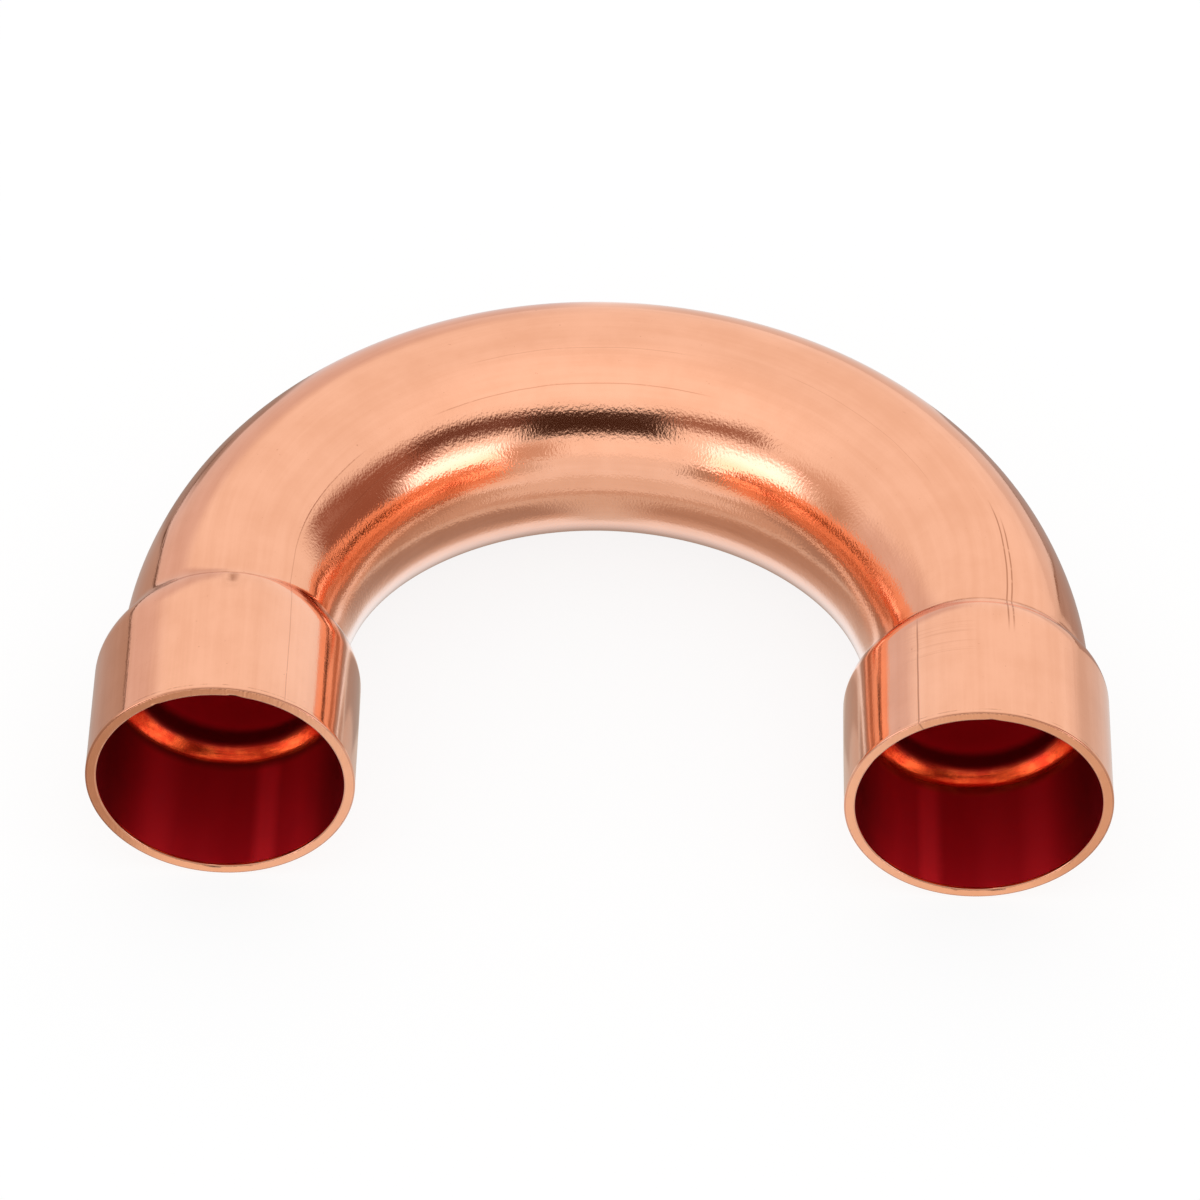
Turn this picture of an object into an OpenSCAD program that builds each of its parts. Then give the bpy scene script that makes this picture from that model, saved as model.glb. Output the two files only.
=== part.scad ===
// Return bend: a copper tube turned back on itself through 180 degrees, with a
// plain socket at each end for a soldered pipe. One piece, drawn from one tube.
// Millimetres. It lies flat: X across the legs, mouths toward -Y, Z up.

/* [Pipe] */

// Outside diameter of the pipes it joins, and of the tube it is bent from
pipe_d = 22; // [15:0.5:35]

// Room left round the pipe in a socket, on the diameter, for the solder
fit_gap = 0.2; // [0.1:0.05:0.5]

// Wall thickness of the tube
wall = 1; // [0.8:0.05:1.5]

/* [Bend] */

// Distance between the axes of the two sockets
centre_distance = 68; // [60:0.5:120]

// How much bending narrows the tube, measured across the bend
flattening = 1.7; // [0.8:0.1:3]

// How much bending raises the tube, measured at right angles to the bend
spread = 1.3; // [0.4:0.1:1.5]

/* [Sockets] */

// Depth of a socket, from its mouth to the stop
socket_depth = 13; // [9:0.5:25]

// Length of the sloping stop at the bottom of a socket
stop_length = 1.4; // [1:0.1:2]

// How far the stop stands in from the bore
stop_height = 1.2; // [0.9:0.05:1.6]

// Length of straight tube left between the stop and the bend
tangent = 0.6; // [0.4:0.1:5]

// Length of the rounded shoulder outside, where socket draws in to tube
shoulder_length = 3; // [2.5:0.1:5]

// Edge taken off the mouth, inside and out
edge_break = 0.12; // [0.05:0.01:0.3]

/* [Hidden] */

$fn = 180;

bore_r = (pipe_d + fit_gap) / 2;
socket_r = bore_r + wall;
bend_r = centre_distance / 2;
half_w = (pipe_d - flattening) / 2;
half_h = (pipe_d + spread) / 2;
leg = socket_depth + stop_length + tangent;
reach = bend_r + half_w;

// Small margin by which one surface stands clear of the next where they cross
clear = 0.06;

// Oval outline, half_a wide and half_b high
module oval(half_a, half_b) {
    scale([half_a / half_b, 1]) circle(r = half_b);
}

// Half turn of tube in the plane of the legs
module half_turn(half_a, half_b) {
    rotate_extrude(angle = 180) translate([bend_r, 0]) oval(half_a, half_b);
}

// Straight oval tube along a leg, from the start of the bend
module straight(half_a, half_b, length) {
    rotate([90, 0, 0]) linear_extrude(height = length) oval(half_a, half_b);
}

// Turned solid along a leg, from a profile in radius and distance from the bend
module turned() {
    rotate([90, 0, 0]) rotate_extrude() children();
}

// Profile of radius r from the mouth to the shoulder, then an arc that draws in
// by d over the shoulder's length
module drawn_profile(r, d, mouth) {
    arc_r = (pow(shoulder_length, 2) + pow(d, 2)) / (2 * d);
    translate([0, shoulder_length]) square([r, mouth - shoulder_length]);
    intersection() {
        translate([r - arc_r, shoulder_length]) circle(r = arc_r);
        square([r + 1, shoulder_length + 0.01]);
    }
    square([r - d - 1, shoulder_length]);
}

// Outside of one leg: round socket, rounded shoulder and straight oval tube
module leg_outside() {
    intersection() {
        turned() difference() {
            drawn_profile(socket_r, max(clear, socket_r - half_h - clear), leg);
            translate([socket_r, leg]) rotate(45) square(edge_break * sqrt(2), center = true);
        }
        scale([1, 1, half_h / half_w])
            turned() drawn_profile(socket_r + clear, socket_r + 2 * clear - half_w, leg + 1);
    }
    straight(half_w, half_h, shoulder_length / 3);
}

// Hollow of one leg: bore of the socket, sloping stop and oval passage
module leg_inside() {
    turned() polygon([
        [0, leg - socket_depth], [bore_r, leg - socket_depth],
        [bore_r, leg - edge_break], [bore_r + edge_break + 1, leg + 1], [0, leg + 1]]);
    passage_w = half_w - wall;
    passage_h = half_h - wall;
    seat_r = bore_r - stop_height / 5;
    intersection() {
        turned() stop_profile(bore_r - stop_height, seat_r);
        scale([1, 1, passage_h / passage_w])
            turned() stop_profile(passage_w - clear, bore_r + clear);
    }
    straight(passage_w, passage_h, tangent);
}

// Profile of the way through a stop, from radius r0 at its bend end to r1 at the
// socket, run on a little both ways so that it meets the hollows there
module stop_profile(r0, r1) {
    lead = min(tangent, 0.5);
    polygon([
        [0, tangent - lead], [r0 - (r1 - r0) * lead / stop_length, tangent - lead],
        [r1, tangent + stop_length], [r1, leg - 1], [0, leg - 1]]);
}

// Both legs from one, set out either side of the bend
module both_legs() {
    for (side = [0, 1]) mirror([side, 0, 0]) translate([bend_r, 0, 0]) children();
}

module return_bend() {
    color([0.86, 0.52, 0.36])
    translate([0, (leg - reach) / 2, socket_r])
    difference() {
        union() {
            half_turn(half_w, half_h);
            both_legs() leg_outside();
        }
        union() {
            half_turn(half_w - wall, half_h - wall);
            both_legs() leg_inside();
        }
    }
}

return_bend();
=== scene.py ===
"""Return bend: one copper tube turned back on itself, with a solder socket on each leg.

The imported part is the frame. The tube is remade here as one smooth closed mesh of the same form, with
its edges, necks and small marks, and gets a drawn-copper finish. Lengths are millimetres, and become
metres where the mesh and the camera are made.
"""

import math

import bpy
import numpy as np
from mathutils import Matrix, Vector, noise


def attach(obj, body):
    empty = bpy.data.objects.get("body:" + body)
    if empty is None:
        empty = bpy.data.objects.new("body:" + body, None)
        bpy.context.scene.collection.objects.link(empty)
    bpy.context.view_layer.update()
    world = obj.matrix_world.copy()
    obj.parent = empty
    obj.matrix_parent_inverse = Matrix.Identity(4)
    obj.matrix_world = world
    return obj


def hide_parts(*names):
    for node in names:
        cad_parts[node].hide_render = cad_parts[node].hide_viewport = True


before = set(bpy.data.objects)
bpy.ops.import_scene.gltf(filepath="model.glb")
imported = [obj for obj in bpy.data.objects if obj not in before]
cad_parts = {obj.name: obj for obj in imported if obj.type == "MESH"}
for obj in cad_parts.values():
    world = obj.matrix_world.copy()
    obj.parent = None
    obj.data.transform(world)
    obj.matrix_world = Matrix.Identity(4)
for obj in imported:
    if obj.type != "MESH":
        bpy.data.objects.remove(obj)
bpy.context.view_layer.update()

# Sizes of the part
PIPE_D = 22.0
FIT_GAP = 0.2
WALL = 1.0
CENTRES = 68.0
FLATTENING = 1.7
SPREAD = 1.3
SOCKET_DEPTH = 13.0
STOP = 1.4
STOP_HEIGHT = 1.2
TANGENT = 0.6
SHOULDER = 3.0

BORE_R = (PIPE_D + FIT_GAP) / 2
SOCKET_R = BORE_R + WALL
BEND_R = CENTRES / 2
HALF_W = (PIPE_D - FLATTENING) / 2
HALF_H = (PIPE_D + SPREAD) / 2
LEG = SOCKET_DEPTH + STOP + TANGENT
TURN = math.pi * BEND_R
LENGTH = 2 * LEG + TURN
SHIFT = np.array([0.0, (LEG - BEND_R - HALF_W) / 2, SOCKET_R])

# Necks: where they start, the length of each, the round share of that, the half height behind them, and how
# far into the bend the tube takes to come to its full height
NECK_START = LEG - SHOULDER
NECK_RIGHT = 3.4
NECK_LEFT = 4.4
NECK_ROUND = 0.7
NECK_H = HALF_H - 0.25
NECK_RUN = 14.0

# Stops: half height of the way through, how far before its socket's end a stop starts to roll in, and how
# far into the bend the passage takes to come to its full height
STOP_H = BORE_R - STOP_HEIGHT
STOP_LEAD = 0.4
STOP_RUN = 6.0

# How far the bend leans to +X, the length past a neck over which that comes, and how far its crown sits back
LEAN = 0.25
LEAN_RUN = 3.0
SET_BACK = 0.15

# Egg shape of the bend's section, the share of it taken off all round, and the length over which it comes
EGG = 0.9
EGG_LESS = 0.15
EGG_RUN = 12.0

# How far into the bend its inner side takes to be fully squeezed
SQUEEZE_RUN = 9.0

# Line scored round each neck: its depth, and the half widths of its floor and of all of it
SCORE = 0.03
SCORE_FLOOR = 0.05
SCORE_HALF = 0.12

# Slow waviness: its depth, its length along the tube, and how fast it changes round it
WAVE = 0.02
WAVE_LENGTH = 13.0
WAVE_ROUND = 1.7

# Mouths: their rounding outside and in, the length behind them that stays true, and how far into the bore the
# outside's finish goes
EDGE_OUT = 0.14
EDGE_IN = 0.1
TRUE_MOUTH = 1.5
FINISH_REACH = 0.2

# Painted bright ring, a lit copy of the copper, on the right stop and on the left: its middle past the
# socket's depth, and its half width
RING_RIGHT = (0.2, 0.75)
RING_LEFT = (0.35, 0.6)

# Points round the tube, the three kinds of row in its mesh, and metres in a millimetre
AROUND = 192
OUTSIDE = 0
RIM = 1
INSIDE = 2
MM = 0.001


# Mesh of the tube

def smooth(x, low, high):
    """0 below low, 1 above high, and a smooth rise between."""
    t = np.clip((np.asarray(x, float) - low) / (high - low), 0, 1)
    return t * t * (3 - 2 * t)


def axis_at(s):
    """Middle of the tube and the direction out of the bend, at a distance s along from the right mouth."""
    p = np.clip((s - LEG) / BEND_R, 0, math.pi)
    out = np.stack([np.cos(p), np.sin(p)], axis=-1)
    mid = BEND_R * out
    mid[:, 1] += np.minimum(s - LEG, 0) - np.maximum(s - LEG - TURN, 0)
    mid[:, 0] += LEAN * smooth(np.minimum(s, LENGTH - s), NECK_START, LEG + LEAN_RUN)
    mid[:, 1] -= SET_BACK * np.sin(p) ** 2
    return mid, out


def spaced(a, b, step):
    """Values from a up to, but not with, b, about a step apart."""
    n = max(1, round((b - a) / step))
    return [a + (b - a) * i / n for i in range(n)]


def neck_share(s, length):
    """How far the neck has drawn in at s: a round shoulder that runs into a hollow fillet."""
    drop = SOCKET_R - HALF_W
    lean = 2 * math.atan(drop / length)
    both = length / math.sin(lean)
    round_r = NECK_ROUND * both
    hollow_r = both - round_r
    z = s - NECK_START
    if z <= 0:
        return 0.0
    if z < round_r * math.sin(lean):
        return (round_r - math.sqrt(round_r ** 2 - z ** 2)) / drop
    if z < length:
        return 1 - (hollow_r - math.sqrt(hollow_r ** 2 - (length - z) ** 2)) / drop
    return 1.0


def outside_rows(neck):
    """Rows [distance, half width, half height] of the outside, from a mouth to the middle of the bend."""
    rows = []
    for i in range(5):
        t = math.radians(90 * i / 4)
        r = SOCKET_R - EDGE_OUT * (1 - math.sin(t))
        rows.append((EDGE_OUT * (1 - math.cos(t)), r, r))
    rows += [(s, SOCKET_R, SOCKET_R) for s in spaced(0.3, NECK_START, 0.8)]
    depths = (
        (-SCORE_HALF, 0.0), (-SCORE_FLOOR, SCORE * 2 / 3), (0.0, SCORE),
        (SCORE_FLOOR, SCORE * 2 / 3), (SCORE_HALF, 0.0))
    score = {LEG + off: deep for off, deep in depths}
    places = spaced(NECK_START, LEG - 0.2, 0.15) + list(score) + spaced(LEG + 0.25, LEG + 2.5, 0.15)
    places += spaced(LEG + 2.5, LENGTH / 2, 0.9)
    for s in places:
        k = neck_share(s, neck)
        high = NECK_H + (HALF_H - NECK_H) * smooth(s, LEG, LEG + NECK_RUN)
        cut = score.get(s, 0.0)
        rows.append((s, SOCKET_R + (HALF_W - SOCKET_R) * k - cut, SOCKET_R + (high - SOCKET_R) * k - cut))
    return rows


def inside_rows():
    """Rows of the hollow, from a mouth to the middle of the bend: bore, rolled stop and oval passage."""
    rows = []
    for i in range(4):
        t = math.radians(90 * i / 3)
        r = BORE_R + EDGE_IN * (1 - math.sin(t))
        rows.append((EDGE_IN * (1 - math.cos(t)), r, r))
    rows += [(s, BORE_R, BORE_R) for s in spaced(0.3, SOCKET_DEPTH - 0.5, 1.0)]
    rolled = SOCKET_DEPTH - STOP_LEAD
    past = SOCKET_DEPTH + 2.2
    full = LEG + STOP_RUN
    for s in spaced(rolled, past, 0.13) + spaced(past, full, 0.6) + spaced(full, LENGTH / 2, 1.3):
        k = smooth(s, rolled, SOCKET_DEPTH + STOP)
        high = STOP_H + (HALF_H - WALL - STOP_H) * smooth(s, LEG - 0.2, full)
        rows.append((s, BORE_R + (HALF_W - WALL - BORE_R) * k, BORE_R + (high - BORE_R) * k))
    return rows


def other_way(rows):
    """Rows measured from the left mouth, turned round to run on from the right one."""
    return [(LENGTH - s, a, b) for s, a, b in reversed(rows)]


def rim_rows(s, r0, r1):
    """Flat of a mouth between two radii."""
    return [(s, r0 + (r1 - r0) * t, r0 + (r1 - r0) * t) for t in (0.06, 0.35, 0.65, 0.94)]


def unevenness(s, kind, cos, sin):
    """Slow waviness of a drawn and bent tube, from -1 to 1."""
    rows = []
    for m in range(len(s)):
        apart = 7.0 if kind[m] == INSIDE else 0.0
        spots = [(s[m] / WAVE_LENGTH, WAVE_ROUND * c, WAVE_ROUND * v + apart) for c, v in zip(cos, sin)]
        rows.append([noise.noise(Vector(spot)) for spot in spots])
    return np.array(rows)


# Small nicks left by the cut on the inner edge of a mouth: left mouth or not, angle, width in degrees,
# depth. They run NICK_REACH into the bore
NICK_REACH = 0.12
NICKS = (
    (False, -78, 5.0, 0.12), (False, -97, 3.0, 0.08), (False, 88, 3.5, 0.08), (False, -40, 4.0, 0.06),
    (False, 150, 3.0, 0.05), (True, -86, 4.5, 0.12), (True, -103, 3.0, 0.07), (True, 97, 3.0, 0.12),
    (True, 60, 5.0, 0.06), (True, -140, 3.0, 0.05))

# Dent of the forming die on the left shoulder: distance along, angle, half length, half width, depth
DIE_MARK = (LENGTH - 14.2, 92.0, 0.7, 0.5, 0.08)


def build_tube():
    """One closed mesh: outside from the right mouth to the left, left rim, inside back, right rim."""
    out = outside_rows(NECK_RIGHT)
    out += [(LENGTH / 2, HALF_W, HALF_H)] + other_way(outside_rows(NECK_LEFT))
    half_in = inside_rows()
    inn = (half_in + [(LENGTH / 2, HALF_W - WALL, HALF_H - WALL)] + other_way(half_in))[::-1]
    left_rim = rim_rows(LENGTH, out[-1][1], inn[0][1])
    right_rim = rim_rows(0.0, inn[-1][1], out[0][1])
    s, a, b = np.array(out + left_rim + inn + right_rim).T
    kinds = [OUTSIDE] * len(out) + [RIM] * len(left_rim) + [INSIDE] * len(inn) + [RIM] * len(right_rim)
    kind = np.array(kinds)
    turn = np.linspace(0, 2 * math.pi, AROUND, endpoint=False)
    cos = np.cos(turn)
    sin = np.sin(turn)
    deg = np.degrees(turn)
    count = len(s)
    near = np.minimum(s, LENGTH - s)

    # the waviness of the outside only sinks below the true form, and the mouths stay true
    wave = unevenness(s, kind, cos, sin)
    sunk = np.where(kind[:, None] == OUTSIDE, WAVE * (1 + wave), WAVE * wave)
    sunk = sunk * smooth(near, 0, TRUE_MOUTH)[:, None]
    where, angle, half_l, half_w, deep = DIE_MARK
    off = (deg - angle) * math.radians(1) * SOCKET_R
    dent = np.exp(-((s - where) / half_l) ** 2)[:, None] * np.exp(-(off / half_w) ** 2)[None, :]
    sunk += deep * dent * (kind == OUTSIDE)[:, None]
    for left, angle, wide, deep in NICKS:
        d = (deg - angle + 180) % 360 - 180
        at_edge = np.exp(-(LENGTH - s if left else s) / NICK_REACH) * (kind == INSIDE)
        sunk -= deep * at_edge[:, None] * np.exp(-(d / wide) ** 2)[None, :]

    # bending leaves the section egg-shaped: flatter on the outside of the bend, rounder on the inside
    mid, away = axis_at(s)
    crest = np.where(cos > 0, sin ** 6, sin ** 2)
    egg = EGG * smooth(near, LEG, LEG + EGG_RUN)[:, None] * (crest - EGG_LESS)
    xy = mid[:, None, :] + ((a[:, None] - sunk) * cos + egg)[:, :, None] * away[:, None, :]
    z = (b[:, None] - sunk) * sin
    points = np.concatenate([xy, z[:, :, None]], axis=2).reshape(-1, 3) + SHIFT

    m, i = np.meshgrid(np.arange(count), np.arange(AROUND), indexing="ij")
    m2 = (m + 1) % count
    i2 = (i + 1) % AROUND
    corners = (m * AROUND + i, m2 * AROUND + i, m2 * AROUND + i2, m * AROUND + i2)
    quads = np.stack(corners, axis=-1).reshape(-1, 4)
    mesh = bpy.data.meshes.new("return_bend_tube")
    mesh.from_pydata((points * MM).tolist(), [], quads.tolist())
    mesh.polygons.foreach_set("use_smooth", [True] * len(quads))
    within = (kind == INSIDE) & (near > FINISH_REACH)
    inner = (within[m] & within[m2]).reshape(-1)
    mesh.polygons.foreach_set("material_index", inner.astype(np.int32))

    # for the finish: places along the tube and round it, straightened out, in millimetres, and three marks,
    # the bright rings, the rims and how much the bend is squeezed
    flow = np.stack([np.broadcast_to(s[:, None], z.shape), a[:, None] * cos, b[:, None] * sin], axis=2)
    ring_at, ring_half = np.where(s < LENGTH / 2, np.array([RING_RIGHT]).T, np.array([RING_LEFT]).T)
    stop = np.exp(-((near - (SOCKET_DEPTH + ring_at)) / ring_half) ** 4) * (kind == INSIDE)
    rim = (kind == RIM).astype(float)
    squeezed = smooth(near, LEG, LEG + SQUEEZE_RUN)[:, None] * np.clip(0.2 - cos[None, :], 0, 1)
    marks = [np.broadcast_to(v[:, None], z.shape) for v in (stop, rim)] + [squeezed]
    for name, value in (("flow", flow), ("marks", np.stack(marks, axis=2))):
        values = value.reshape(-1).astype(np.float32)
        mesh.attributes.new(name, "FLOAT_VECTOR", "POINT").data.foreach_set("vector", values)

    # a plain unwrapping: along and round
    run = np.r_[0, np.cumsum(np.hypot(np.diff(s), np.diff(a)))]
    run = np.r_[run, run[-1] + 0.25]
    loop_m = np.stack([m, m + 1, m + 1, m], axis=-1).reshape(-1)
    loop_i = np.stack([i, i, i + 1, i + 1], axis=-1).reshape(-1)
    uv = np.stack([run[loop_m] / run[-1], loop_i / AROUND], axis=1)
    mesh.uv_layers.new(name="along_round").data.foreach_set("uv", uv.astype(np.float32).ravel())

    mesh.update()
    obj = bpy.data.objects.new("return_bend_tube", mesh)
    bpy.context.scene.collection.objects.link(obj)
    return obj


# Node helpers

class Nodes:
    """Short names for adding nodes to a tree and joining them."""

    def __init__(self, tree):
        self.tree = tree

    def add(self, kind, **settings):
        n = self.tree.nodes.new(kind)
        for k, v in settings.items():
            setattr(n, k, v)
        return n

    def join(self, value, socket):
        if isinstance(value, bpy.types.NodeSocket):
            self.tree.links.new(value, socket)
        elif value is not None:
            socket.default_value = value

    def fill(self, node, *values):
        """Give a node's inputs these values in order, and return its first output."""
        for v, s in zip(values, node.inputs):
            self.join(v, s)
        return node.outputs[0]

    def math(self, op, *values):
        return self.fill(self.add("ShaderNodeMath", operation=op), *values)

    def total(self, *values):
        out = values[0]
        for v in values[1:]:
            out = self.math("ADD", out, v)
        return out

    def product(self, *values):
        out = values[0]
        for v in values[1:]:
            out = self.math("MULTIPLY", out, v)
        return out

    def most(self, *values):
        out = values[0]
        for v in values[1:]:
            out = self.math("MAXIMUM", out, v)
        return out

    def dot(self, a, b):
        n = self.add("ShaderNodeVectorMath", operation="DOT_PRODUCT")
        self.fill(n, a, b)
        return n.outputs["Value"]

    def stretch(self, where, x, y, z):
        return self.fill(self.add("ShaderNodeVectorMath", operation="MULTIPLY"), where, (x, y, z))

    def split(self, vector):
        n = self.add("ShaderNodeSeparateXYZ")
        self.fill(n, vector)
        return n.outputs

    def step(self, value, low, high, to_low=0.0, to_high=1.0):
        """A smooth change from to_low, at low, to to_high, at high."""
        n = self.add("ShaderNodeMapRange", interpolation_type="SMOOTHSTEP")
        return self.fill(n, value, low, high, to_low, to_high)

    def between(self, value, low, high, soft):
        """1 between low and high, with soft edges."""
        rise = self.step(value, low - soft, low + soft)
        return self.product(rise, self.step(value, high - soft, high + soft, 1.0, 0.0))

    def arc(self, angle, start, end, soft):
        """1 between two angles in degrees, with edges that are soft over this many radians."""
        return self.between(angle, math.radians(start), math.radians(end), soft)

    def noise(self, where, scale, detail=3.0, rough=0.5):
        n = self.add("ShaderNodeTexNoise")
        self.join(where, n.inputs["Vector"])
        for k, v in (("Scale", scale), ("Detail", detail), ("Roughness", rough)):
            n.inputs[k].default_value = v
        return n.outputs[0]

    def mix(self, share, a, b):
        n = self.add("ShaderNodeMix", data_type="RGBA")
        self.join(share, n.inputs["Factor"])
        colours = [s for s in n.inputs if s.type == "RGBA"]
        self.join(a, colours[0])
        self.join(b, colours[1])
        return [s for s in n.outputs if s.type == "RGBA"][0]

    def patch(self, under, colour, *bands):
        """A colour laid over another where each value lies in its band: value, low, high, softness."""
        share = self.between(*bands[0])
        for band in bands[1:]:
            share = self.product(share, self.between(*band))
        return self.mix(share, under, (*colour, 1))

    def attribute(self, name):
        return self.add("ShaderNodeAttribute", attribute_name=name).outputs["Vector"]

    def bump(self, height, shader):
        n = self.add("ShaderNodeBump")
        n.inputs["Strength"].default_value = 1.0
        n.inputs["Distance"].default_value = MM
        self.join(height, n.inputs["Height"])
        self.join(n.outputs[0], shader.inputs["Normal"])


def material(name):
    """A new material, with its nodes and its shader."""
    mat = bpy.data.materials.new(name)
    mat.use_nodes = True
    g = Nodes(mat.node_tree)
    shader = next(n for n in mat.node_tree.nodes if n.type == "BSDF_PRINCIPLED")
    return mat, g, shader


# Drawn copper, outside

# Tones of the metal's clouds, of the painted reflection on the fold, of the cut rims and of the brown marks
COPPER_DEEP = (0.885, 0.425, 0.26, 1)
COPPER_PALE = (0.965, 0.485, 0.31, 1)
FOLD_REFLECTION_TONE = (0.93, 0.34, 0.16, 1)
RIM_TONE = (0.84, 0.36, 0.17, 1)
BROWN = (0.36, 0.12, 0.05, 1)

# Painted reflection on the fold on the inner side of the bend, the deeper copper of copper mirrored in
# copper: start and end round the tube, and how far from the middle of the bend its tone starts and is full
FOLD_REFLECTION_ROUND = (147.0, 165.0)
FOLD_REFLECTION_ALONG = (9.0, 16.0)

# Long draw lines: angle round the tube, half width in radians, start and end along it, strength. They fade in
# and out over twice LINE_FADE
LINE_FADE = 1.5
DRAW_LINES = (
    (120.0, 0.011, -4.0, 14.0, 1.0), (121.0, 0.007, 57.0, 90.0, 0.55), (119.0, 0.007, 98.0, 141.0, 0.5),
    (79.9, 0.011, 10.0, 27.5, 1.0), (77.6, 0.011, 10.0, 25.5, 1.0), (104.0, 0.006, 60.0, 84.0, 0.3),
    (48.0, 0.008, 104.0, 122.0, 0.3), (133.0, 0.006, 92.0, 118.0, 0.3), (100.0, 0.006, 30.0, 52.0, 0.25))

# Brown smudges of the forming, and a patch of fine lines round a socket: start and end along the tube, start
# and end round it
SMUDGES = ((LENGTH - 13.6, LENGTH - 13.0, 89.0, 94.0), (13.5, 14.2, 115.0, 119.0))
TURNED = (7.6, 11.8, 96.0, 124.0)


def copper_outside():
    """Bright copper with streaks, draw lines, brown marks, saw-cut rims and a painted reflection on the fold.
    """
    mat, g, shader = material("drawn_copper")
    flow = g.attribute("flow")
    _, rim, squeezed = g.split(g.attribute("marks"))
    along, across, up = g.split(flow)
    angle = g.math("ARCTAN2", up, across)
    near = g.math("MINIMUM", along, g.math("SUBTRACT", LENGTH, along))

    # broad clouds of tone, and streaks that run along the tube
    clouds = g.noise(flow, 0.2, 4.0, 0.6)
    streaks = g.noise(g.stretch(flow, 0.035, 0.8, 0.8), 1.0, 4.0, 0.6)
    tone = g.total(g.product(clouds, 0.5), g.product(streaks, 0.5))
    colour = g.mix(g.step(tone, 0.34, 0.66), COPPER_DEEP, COPPER_PALE)

    # painted reflection: deeper copper, of copper mirrored in copper, along the fold on the inner side of the
    # bend, either side of its middle
    sideways = g.step(g.math("ABSOLUTE", g.math("SUBTRACT", along, LENGTH / 2)), *FOLD_REFLECTION_ALONG)
    fold_reflection = g.product(g.arc(angle, *FOLD_REFLECTION_ROUND, 0.06), squeezed, sideways, 0.75)
    colour = g.mix(fold_reflection, colour, FOLD_REFLECTION_TONE)

    # draw lines, which wander a little and break up
    wander = g.math("SUBTRACT", g.noise(g.stretch(flow, 0.15, 0, 0), 1.0, 2.0), 0.5)
    turned = g.total(angle, g.product(wander, 0.02))
    lines = 0.0
    for where, wide, start, end, strength in DRAW_LINES:
        off = g.math("ABSOLUTE", g.math("SUBTRACT", turned, math.radians(where)))
        reach = g.between(along, start + LINE_FADE, end - LINE_FADE, LINE_FADE)
        lines = g.most(lines, g.product(g.step(off, 0.0, wide, strength, 0.0), reach))
    broken = g.step(g.noise(g.stretch(flow, 1.1, 1.5, 1.5), 1.0, 3.0), 0.22, 0.42)
    lines = g.product(lines, broken)

    # other brown marks: scored necks, burr and edge at the mouths, die mark, smudges, fine lines and specks
    patchy = g.step(g.noise(flow, 0.9, 4.0, 0.65), 0.42, 0.6)
    scored = g.between(near, LEG - SCORE_FLOOR, LEG + SCORE_FLOOR, SCORE_HALF)
    neck = g.product(scored, g.total(0.55, g.product(patchy, 0.35)))
    burr = g.product(g.between(near, 0.42, 0.46, 0.08), patchy, 0.9)
    edge = g.product(g.step(near, 0.02, 0.18, 0.5, 0.0), g.math("SUBTRACT", 1.0, rim))
    where, at, half_l, _, _ = DIE_MARK
    die = g.product(
        g.between(along, where - half_l, where + half_l, 0.4),
        g.between(angle, math.radians(at) - 0.03, math.radians(at) + 0.03, 0.035),
        g.total(0.3, g.product(g.noise(flow, 3.0, 3.0, 0.6), 0.7)))
    smudges = [
        g.product(g.between(along, start, end, 0.9), g.arc(angle, a0, a1, 0.12))
        for start, end, a0, a1 in SMUDGES]
    smudge = g.product(g.most(*smudges), g.step(g.noise(flow, 1.3, 5.0, 0.7), 0.4, 0.66, 0.15, 0.5))
    turning = g.step(g.noise(g.stretch(flow, 6.5, 0.1, 0.1), 1.0, 2.0), 0.45, 0.7, 0.0, 0.17)
    start, end, a0, a1 = TURNED
    turning = g.product(turning, g.between(along, start, end, 0.8), g.arc(angle, a0, a1, 0.1))
    specks = g.product(g.step(g.noise(flow, 2.2, 3.0, 0.6), 0.70, 0.76), 0.3)
    dark = g.most(g.product(lines, 0.75), neck, burr, edge, die, smudge, turning, specks)
    colour = g.mix(g.product(rim, 0.6), colour, RIM_TONE)
    g.join(g.mix(dark, colour, BROWN), shader.inputs["Base Color"])

    # bright, a little duller in the hollow of the bend and on the cut rims
    rough = g.total(0.06, g.product(streaks, 0.06), g.product(squeezed, 0.02), g.product(rim, 0.22))
    g.join(rough, shader.inputs["Roughness"])
    shader.inputs["Metallic"].default_value = 1.0

    # a clear film pales the side between the legs: all of it on the sockets, only low down on the bend
    low = g.most(g.step(up, 1.0, 6.0, 1.0, 0.0), g.step(near, LEG - 1, LEG + 1, 1.0, 0.0))
    g.join(g.product(g.step(g.product(across, -1.0), 1.0, 8.0, 0.1, 1.0), low), shader.inputs["Coat Weight"])
    shader.inputs["Coat Roughness"].default_value = 0.1
    shader.inputs["Coat IOR"].default_value = 1.45

    # relief: orange peel, coarser where the bend is squeezed, hair lines, and saw marks on the rims
    peel = g.noise(flow, 3.4, 1.0, 0.6)
    grain = g.product(peel, g.total(0.003, g.product(squeezed, 0.012)))
    hair = g.product(g.noise(g.stretch(flow, 0.03, 5.0, 5.0), 1.0, 3.0, 0.55), 0.003)
    slow = g.product(g.noise(g.stretch(flow, 0.08, 0.45, 0.45), 1.0, 2.0), 0.02)
    saw = g.product(g.noise(g.stretch(flow, 1.0, 5.0, 0.7), 1.0, 3.0), rim, 0.05)
    relief = g.total(grain, hair, slow, saw)
    g.bump(g.math("SUBTRACT", relief, g.product(lines, 0.01)), shader)
    return mat


# Copper inside the tube, dull, painted deep red for light bounced inside, and bright on the rolled stop

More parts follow.
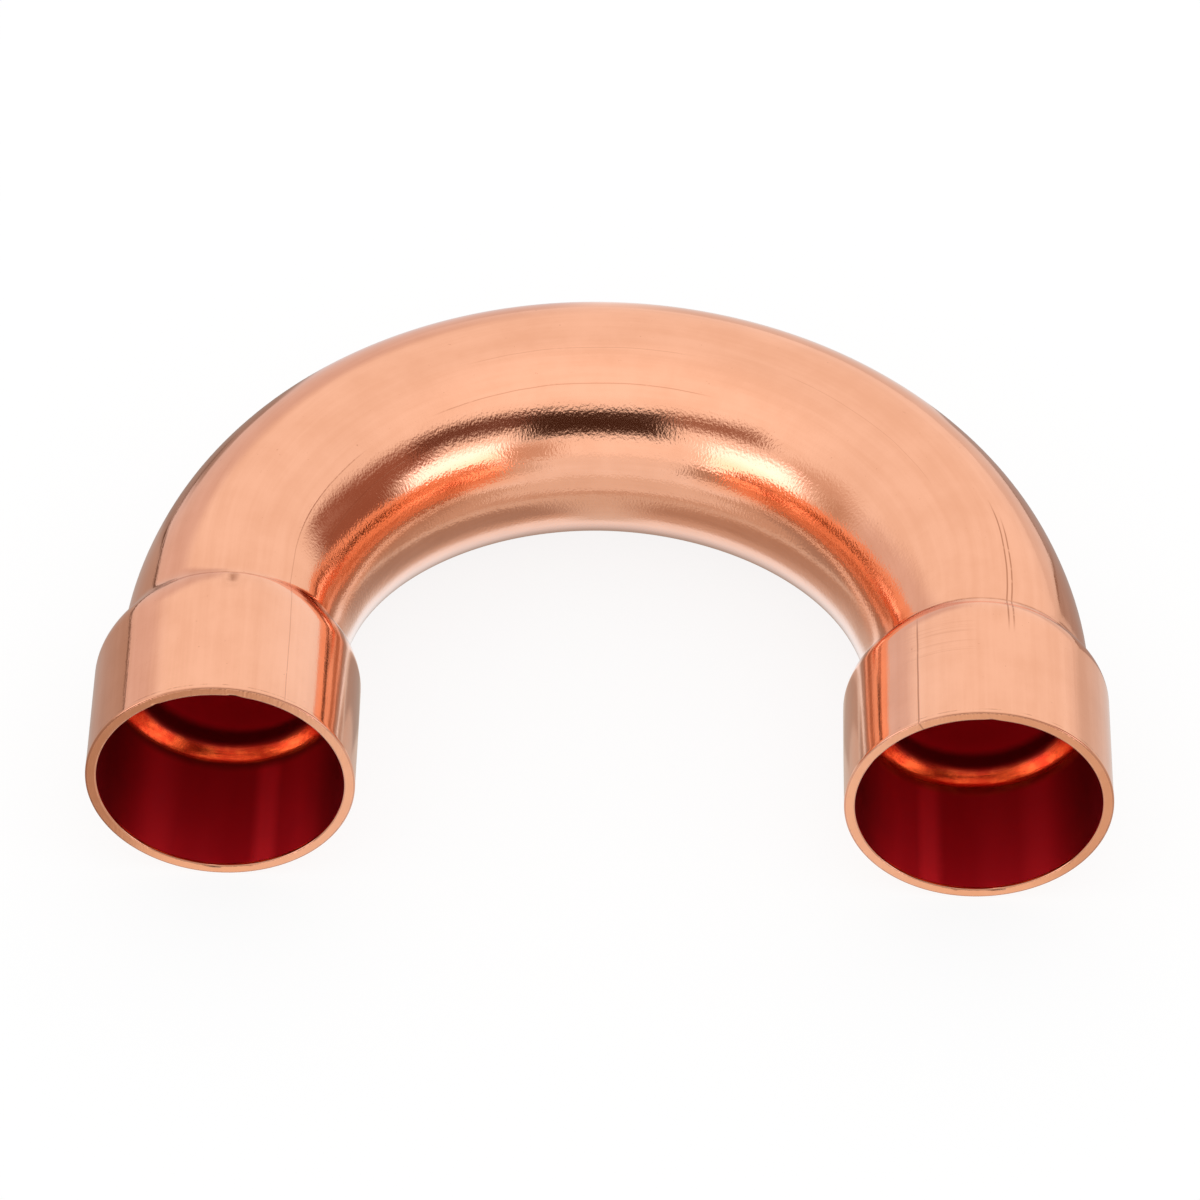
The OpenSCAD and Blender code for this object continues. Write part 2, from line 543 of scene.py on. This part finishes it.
# Painted tones: the wall's reds for light bounced inside, the shade at its sides, the lighter tube beyond the
# stop, the shade round the stop, and the stop, a lit copy of the same copper
WALL_DARK = (0.58, 0.008, 0.017, 1)
WALL_BRIGHT = (1.0, 0.03, 0.045, 1)
SIDE_SHADE_TONE = (0.10, 0.001, 0.003, 1)
BEYOND_TONE = (0.9, 0.02, 0.045, 1)
STOP_SHADE_TONE = (0.18, 0.003, 0.005, 1)
RING_WORN_LIT = (0.70, 0.045, 0.012, 1)
RING_GLINT = (1.0, 0.13, 0.03, 1)

# Brighter stripes along the wall: from and to across the tube, softness, strength
STRIPES = ((-4.7, -2.8, 0.6, 0.9), (4.6, 7.4, 1.3, 0.55))


def copper_inside():
    """Painted light: red wall with bright stripes, shade at its sides and round the stop, and a bright stop.
    """
    mat, g, shader = material("inside_copper")
    flow = g.attribute("flow")
    stop, _, _ = g.split(g.attribute("marks"))
    along, across, _ = g.split(flow)
    near = g.math("MINIMUM", along, g.math("SUBTRACT", LENGTH, along))
    cloudy = g.step(g.noise(g.stretch(flow, 0.02, 0.17, 0.17), 1.0, 2.0, 0.5), 0.42, 0.66)
    bright = g.product(cloudy, 0.3)
    for start, end, soft, strength in STRIPES:
        bright = g.most(bright, g.product(g.between(across, start, end, soft), strength))
    wall = g.mix(bright, WALL_DARK, WALL_BRIGHT)
    # painted shade at the bore's sides
    side_shade = g.step(g.math("ABSOLUTE", across), 0.6 * BORE_R, 0.97 * BORE_R, 0.0, 0.85)
    wall = g.mix(side_shade, wall, SIDE_SHADE_TONE)
    # painted lighter red for the tube beyond the stop
    beyond = g.step(near, SOCKET_DEPTH + STOP, SOCKET_DEPTH + STOP + 2.0)
    wall = g.mix(beyond, wall, BEYOND_TONE)
    # painted shade round the step of the stop
    stop_shade = g.between(near, SOCKET_DEPTH - 0.8, SOCKET_DEPTH + STOP + 1.5, 0.7)
    wall = g.mix(stop_shade, wall, STOP_SHADE_TONE)
    # painted light on the stop: a lit copy of the same copper, duller where worn, with painted glints in
    # patches
    wear_and_glints = g.step(g.noise(g.stretch(flow, 0.8, 0.4, 0.4), 1.0, 4.0, 0.6), 0.36, 0.64)
    ring = g.mix(wear_and_glints, RING_WORN_LIT, RING_GLINT)
    g.join(g.mix(stop, wall, ring), shader.inputs["Base Color"])
    g.join(g.math("SUBTRACT", 0.34, g.product(stop, 0.1)), shader.inputs["Roughness"])
    g.join(g.total(0.55, g.product(stop, 0.4)), shader.inputs["Metallic"])
    fine = g.product(g.noise(g.stretch(flow, 0.05, 4.0, 4.0), 1.0, 3.0), 0.006)
    rolled = g.product(g.noise(g.stretch(flow, 4.0, 0.5, 0.5), 1.0, 2.0), stop, 0.02)
    g.bump(g.total(fine, rolled), shader)
    return mat


tube = build_tube()
tube.data.materials.append(copper_outside())
tube.data.materials.append(copper_inside())
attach(tube, "root")
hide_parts("return_bend")


# Floor, white to the camera under the part's soft shadow

# Its half side in metres, its tone as a surface, the share that shows shadow to the camera, the glow that
# makes up the rest, and its tone in the metal
FLOOR_HALF = 4.0
FLOOR_TONE = (0.93, 0.93, 0.93, 1)
SHADOW_SHARE = (0.14, 0.14, 0.14, 1)
GLOW = 0.867
PAPER = (0.97, 0.97, 0.97, 1)

# Soft shades that only the metal mirrors from the floor, round the middle of the bend: from and to in degrees
# round from the camera's side (+X positive), softness, from and to outward in millimetres, softness, and the
# tone there. Later ones lie over earlier ones. Those marked CUT also end along a straight edge, of this slope
# and softness, so that the right socket stays clear of them
FAR = 1e5
CUT = -35.5
CUT_SLOPE = 0.96
CUT_SOFT = 1.5
SHADES = (
    (-178, -128, 3.0, 46, FAR, 4, (0.78, 0.72, 0.72)),
    (-128, -30, 0.8, 46, FAR, 4, (0.50, 0.43, 0.39)),
    (-150, -126, 2.0, 40, 80, 2, (0.38, 0.30, 0.26)),
    (-151, -136, 3.0, 40, 110, 12, (0.38, 0.30, 0.26)),
    (-129, -127, 0.7, 78, FAR, 3, (0.12, 0.07, 0.05)),
    (-142, -127, 1.5, 79, 84, 2.5, (0.18, 0.12, 0.09)),
    (130, 178, 4.0, 46, FAR, 4, (0.82, 0.78, 0.76)),
    (30, 130, 4.0, 46, FAR, 4, (0.74, 0.70, 0.67)),
    (100, 148, 1.0, 40, 87, 2, (0.44, 0.37, 0.34), CUT),
    (100, 127.5, 0.8, 82, 170, 10, (0.44, 0.37, 0.34), CUT),
    (126.5, 128, 0.7, 84, 160, 20, (0.28, 0.18, 0.13)),
    (127, 141, 1.5, 84, 88, 2.5, (0.30, 0.22, 0.17)),
    (-190, 190, 1.0, -5, 11, 1.5, (0.84, 0.79, 0.74)),
    (-190, -80, 3.0, 9.0, 22.8, 0.8, (0.62, 0.50, 0.42)),
    (80, 190, 3.0, 9.0, 22.8, 0.8, (0.62, 0.50, 0.42)),
    (-190, -100, 4.0, 14.0, 21.0, 1.0, (0.42, 0.33, 0.28)),
    (100, 190, 4.0, 14.0, 20.2, 1.0, (0.48, 0.36, 0.29)),
    (-190, -175, 4.0, 11.5, 24.3, 1.0, (0.73, 0.68, 0.62)),
    (175, 190, 4.0, 11.5, 24.3, 1.0, (0.73, 0.68, 0.62)),
    (-190, -78, 4.0, 27, 43, 2.5, (0.42, 0.30, 0.24)),
    (78, 190, 4.0, 27, 43, 2.5, (0.42, 0.30, 0.24)))


def floor():
    """Pale floor: white with the part's shadow to the camera, and with the soft shades in the metal."""
    mesh = bpy.data.meshes.new("floor")
    corners = [(x * FLOOR_HALF, y * FLOOR_HALF, 0) for x, y in ((-1, -1), (1, -1), (1, 1), (-1, 1))]
    mesh.from_pydata(corners, [], [(0, 1, 2, 3)])
    obj = bpy.data.objects.new("floor", mesh)
    bpy.context.scene.collection.objects.link(obj)
    mat, g, shader = material("pale_floor")
    shader.inputs["Base Color"].default_value = FLOOR_TONE
    shader.inputs["Roughness"].default_value = 1.0
    shader.inputs["Specular IOR Level"].default_value = 0.0
    seen = g.add("ShaderNodeAddShader")
    paper = g.add("ShaderNodeBsdfDiffuse")
    paper.inputs["Color"].default_value = SHADOW_SHARE
    glow = g.add("ShaderNodeEmission")
    glow.inputs["Strength"].default_value = GLOW
    g.fill(seen, paper.outputs[0], glow.outputs[0])

    x, y, _ = g.split(g.add("ShaderNodeTexCoord").outputs["Object"])
    x = g.product(x, 1 / MM)
    y = g.math("SUBTRACT", g.product(y, 1 / MM), SHIFT[1])
    turn = g.math("ARCTAN2", x, g.product(y, -1.0))
    away = g.math("SQRT", g.total(g.product(x, x), g.product(y, y)))
    slant = g.math("SUBTRACT", y, g.product(x, CUT_SLOPE))
    tone = PAPER
    for t0, t1, soft, r0, r1, blur, colour, *cut in SHADES:
        bands = [(turn, *(math.radians(v) for v in (t0, t1, soft))), (away, r0, r1, blur)]
        bands += [(slant, edge, FAR, CUT_SOFT) for edge in cut]
        tone = g.patch(tone, colour, *bands)
    mirrored = g.add("ShaderNodeEmission")
    g.join(tone, mirrored.inputs["Color"])

    ray = g.add("ShaderNodeLightPath")
    out = next(n for n in mat.node_tree.nodes if n.type == "OUTPUT_MATERIAL")
    surface = shader.outputs[0]
    for kind, other in (("Is Camera Ray", seen), ("Is Glossy Ray", mirrored)):
        pick = g.add("ShaderNodeMixShader")
        g.fill(pick, ray.outputs[kind], surface, other.outputs[0])
        surface = pick.outputs[0]
    g.join(surface, out.inputs["Surface"])
    mat.cycles.emission_sampling = "NONE"
    obj.data.materials.append(mat)


floor()


# Light: a white tent, brighter over the camera, with the dark gap that the camera looks through

# Soft-edged patches of the tent, in degrees: from and to round from the camera's side (+X positive), from and
# to above the floor, softness, and the light there. Later ones lie over earlier ones
PATCHES = (
    (-175, -96, -20, 20, 8, (0.78, 0.72, 0.73)),
    (96, 175, -20, 16, 12, (0.80, 0.76, 0.74)),
    (66, 122, 18, 42, 6, (0.32, 0.15, 0.11)),
    (82, 122, -20, 32, 6, (0.32, 0.15, 0.11)),
    (-93, -66, 18, 30, 7, (0.75, 0.62, 0.55)),
    (-96, -80, -20, 20, 7, (0.62, 0.48, 0.40)),
    (20, 40, -20, 15, 5, (0.70, 0.55, 0.47)),
    (20, 76, 28, 42, 4, (0.16, 0.07, 0.05)),
    (-58, -18, 31, 42, 5, (0.34, 0.18, 0.13)),
    (-20, 32, 19, 42, 4, (0.06, 0.03, 0.02)),
    (41, 76, -20, 20, 5, (2.4, 2.35, 2.7)),
    (-70, -35, -20, 22, 5, (2.4, 2.35, 2.7)))

# Past this angle round, the tops of the patches slope down to the side
SLOPE_FROM = 60
SLOPE = 0.22

# Direction in which the tent is brightest, and its light there
BRIGHT_WAY = (0.0, -0.7, 0.7)
BRIGHTEST = 1.13


def studio():
    """Plain white light, and the tent with its patches where the metal mirrors it."""
    world = bpy.data.worlds.new("tent")
    bpy.context.scene.world = world
    world.use_nodes = True
    world.cycles.sampling_method = "NONE"
    world.node_tree.nodes.clear()
    g = Nodes(world.node_tree)
    look = g.add("ShaderNodeTexCoord").outputs["Generated"]
    x, y, z = g.split(look)
    turn = g.math("ARCTAN2", x, g.product(y, -1.0))
    high = g.math("ARCSINE", z)
    past = g.math("MAXIMUM", g.math("SUBTRACT", turn, math.radians(SLOPE_FROM)), 0.0)
    sloped = g.total(high, g.product(past, SLOPE))

    light = g.step(g.dot(look, BRIGHT_WAY), 0.3, 0.95, 1.0, BRIGHTEST)
    for *edges, colour in PATCHES:
        t0, t1, h0, h1, soft = (math.radians(v) for v in edges)
        low = g.step(high, h0 - soft, h0 + soft)
        top = g.step(sloped, h1 - soft, h1 + soft, 1.0, 0.0)
        light = g.mix(g.product(g.between(turn, t0, t1, soft), low, top), light, (*colour, 1))
    tent = g.add("ShaderNodeBackground")
    g.join(light, tent.inputs["Color"])
    plain = g.add("ShaderNodeBackground")
    plain.inputs["Color"].default_value = (1, 1, 1, 1)
    ray = g.add("ShaderNodeLightPath")
    pick = g.add("ShaderNodeMixShader")
    g.fill(pick, ray.outputs["Is Glossy Ray"], plain.outputs[0], tent.outputs[0])
    out = g.add("ShaderNodeOutputWorld")
    g.join(pick.outputs[0], out.inputs["Surface"])


studio()


# Camera at the photograph's viewing angle

# Side and focal length of the photograph in its pixels, and how much larger the part is shown
PHOTO_SIDE = 1200.0
FOCAL_PIXELS = 3606.4
ENLARGED = 1.8
SENSOR = 36.0

# Where the camera stands, from the middle of the bend, and what is ahead of it and down in its picture
EYE = (-4.48, -413.02, 423.97)
AHEAD = (0.0068, 0.7059, -0.7083)
DOWN = (0.0322, -0.7081, -0.7054)


def camera():
    """The photograph's own viewpoint, through a longer lens so that the part fills the picture."""
    data = bpy.data.cameras.new("camera")
    data.sensor_width = SENSOR
    data.lens = SENSOR * FOCAL_PIXELS * ENLARGED / PHOTO_SIDE
    data.clip_start = 0.01
    data.clip_end = 20.0
    obj = bpy.data.objects.new("camera", data)
    bpy.context.scene.collection.objects.link(obj)
    ahead = Vector(AHEAD).normalized()
    right = Vector(DOWN).cross(ahead).normalized()
    down = ahead.cross(right)
    turn = Matrix((right, -down, -ahead)).transposed().to_4x4()
    obj.matrix_world = Matrix.Translation((Vector(EYE) + Vector(SHIFT)) * MM) @ turn
    bpy.context.scene.camera = obj


camera()
bpy.context.scene.view_settings.view_transform = "Standard"
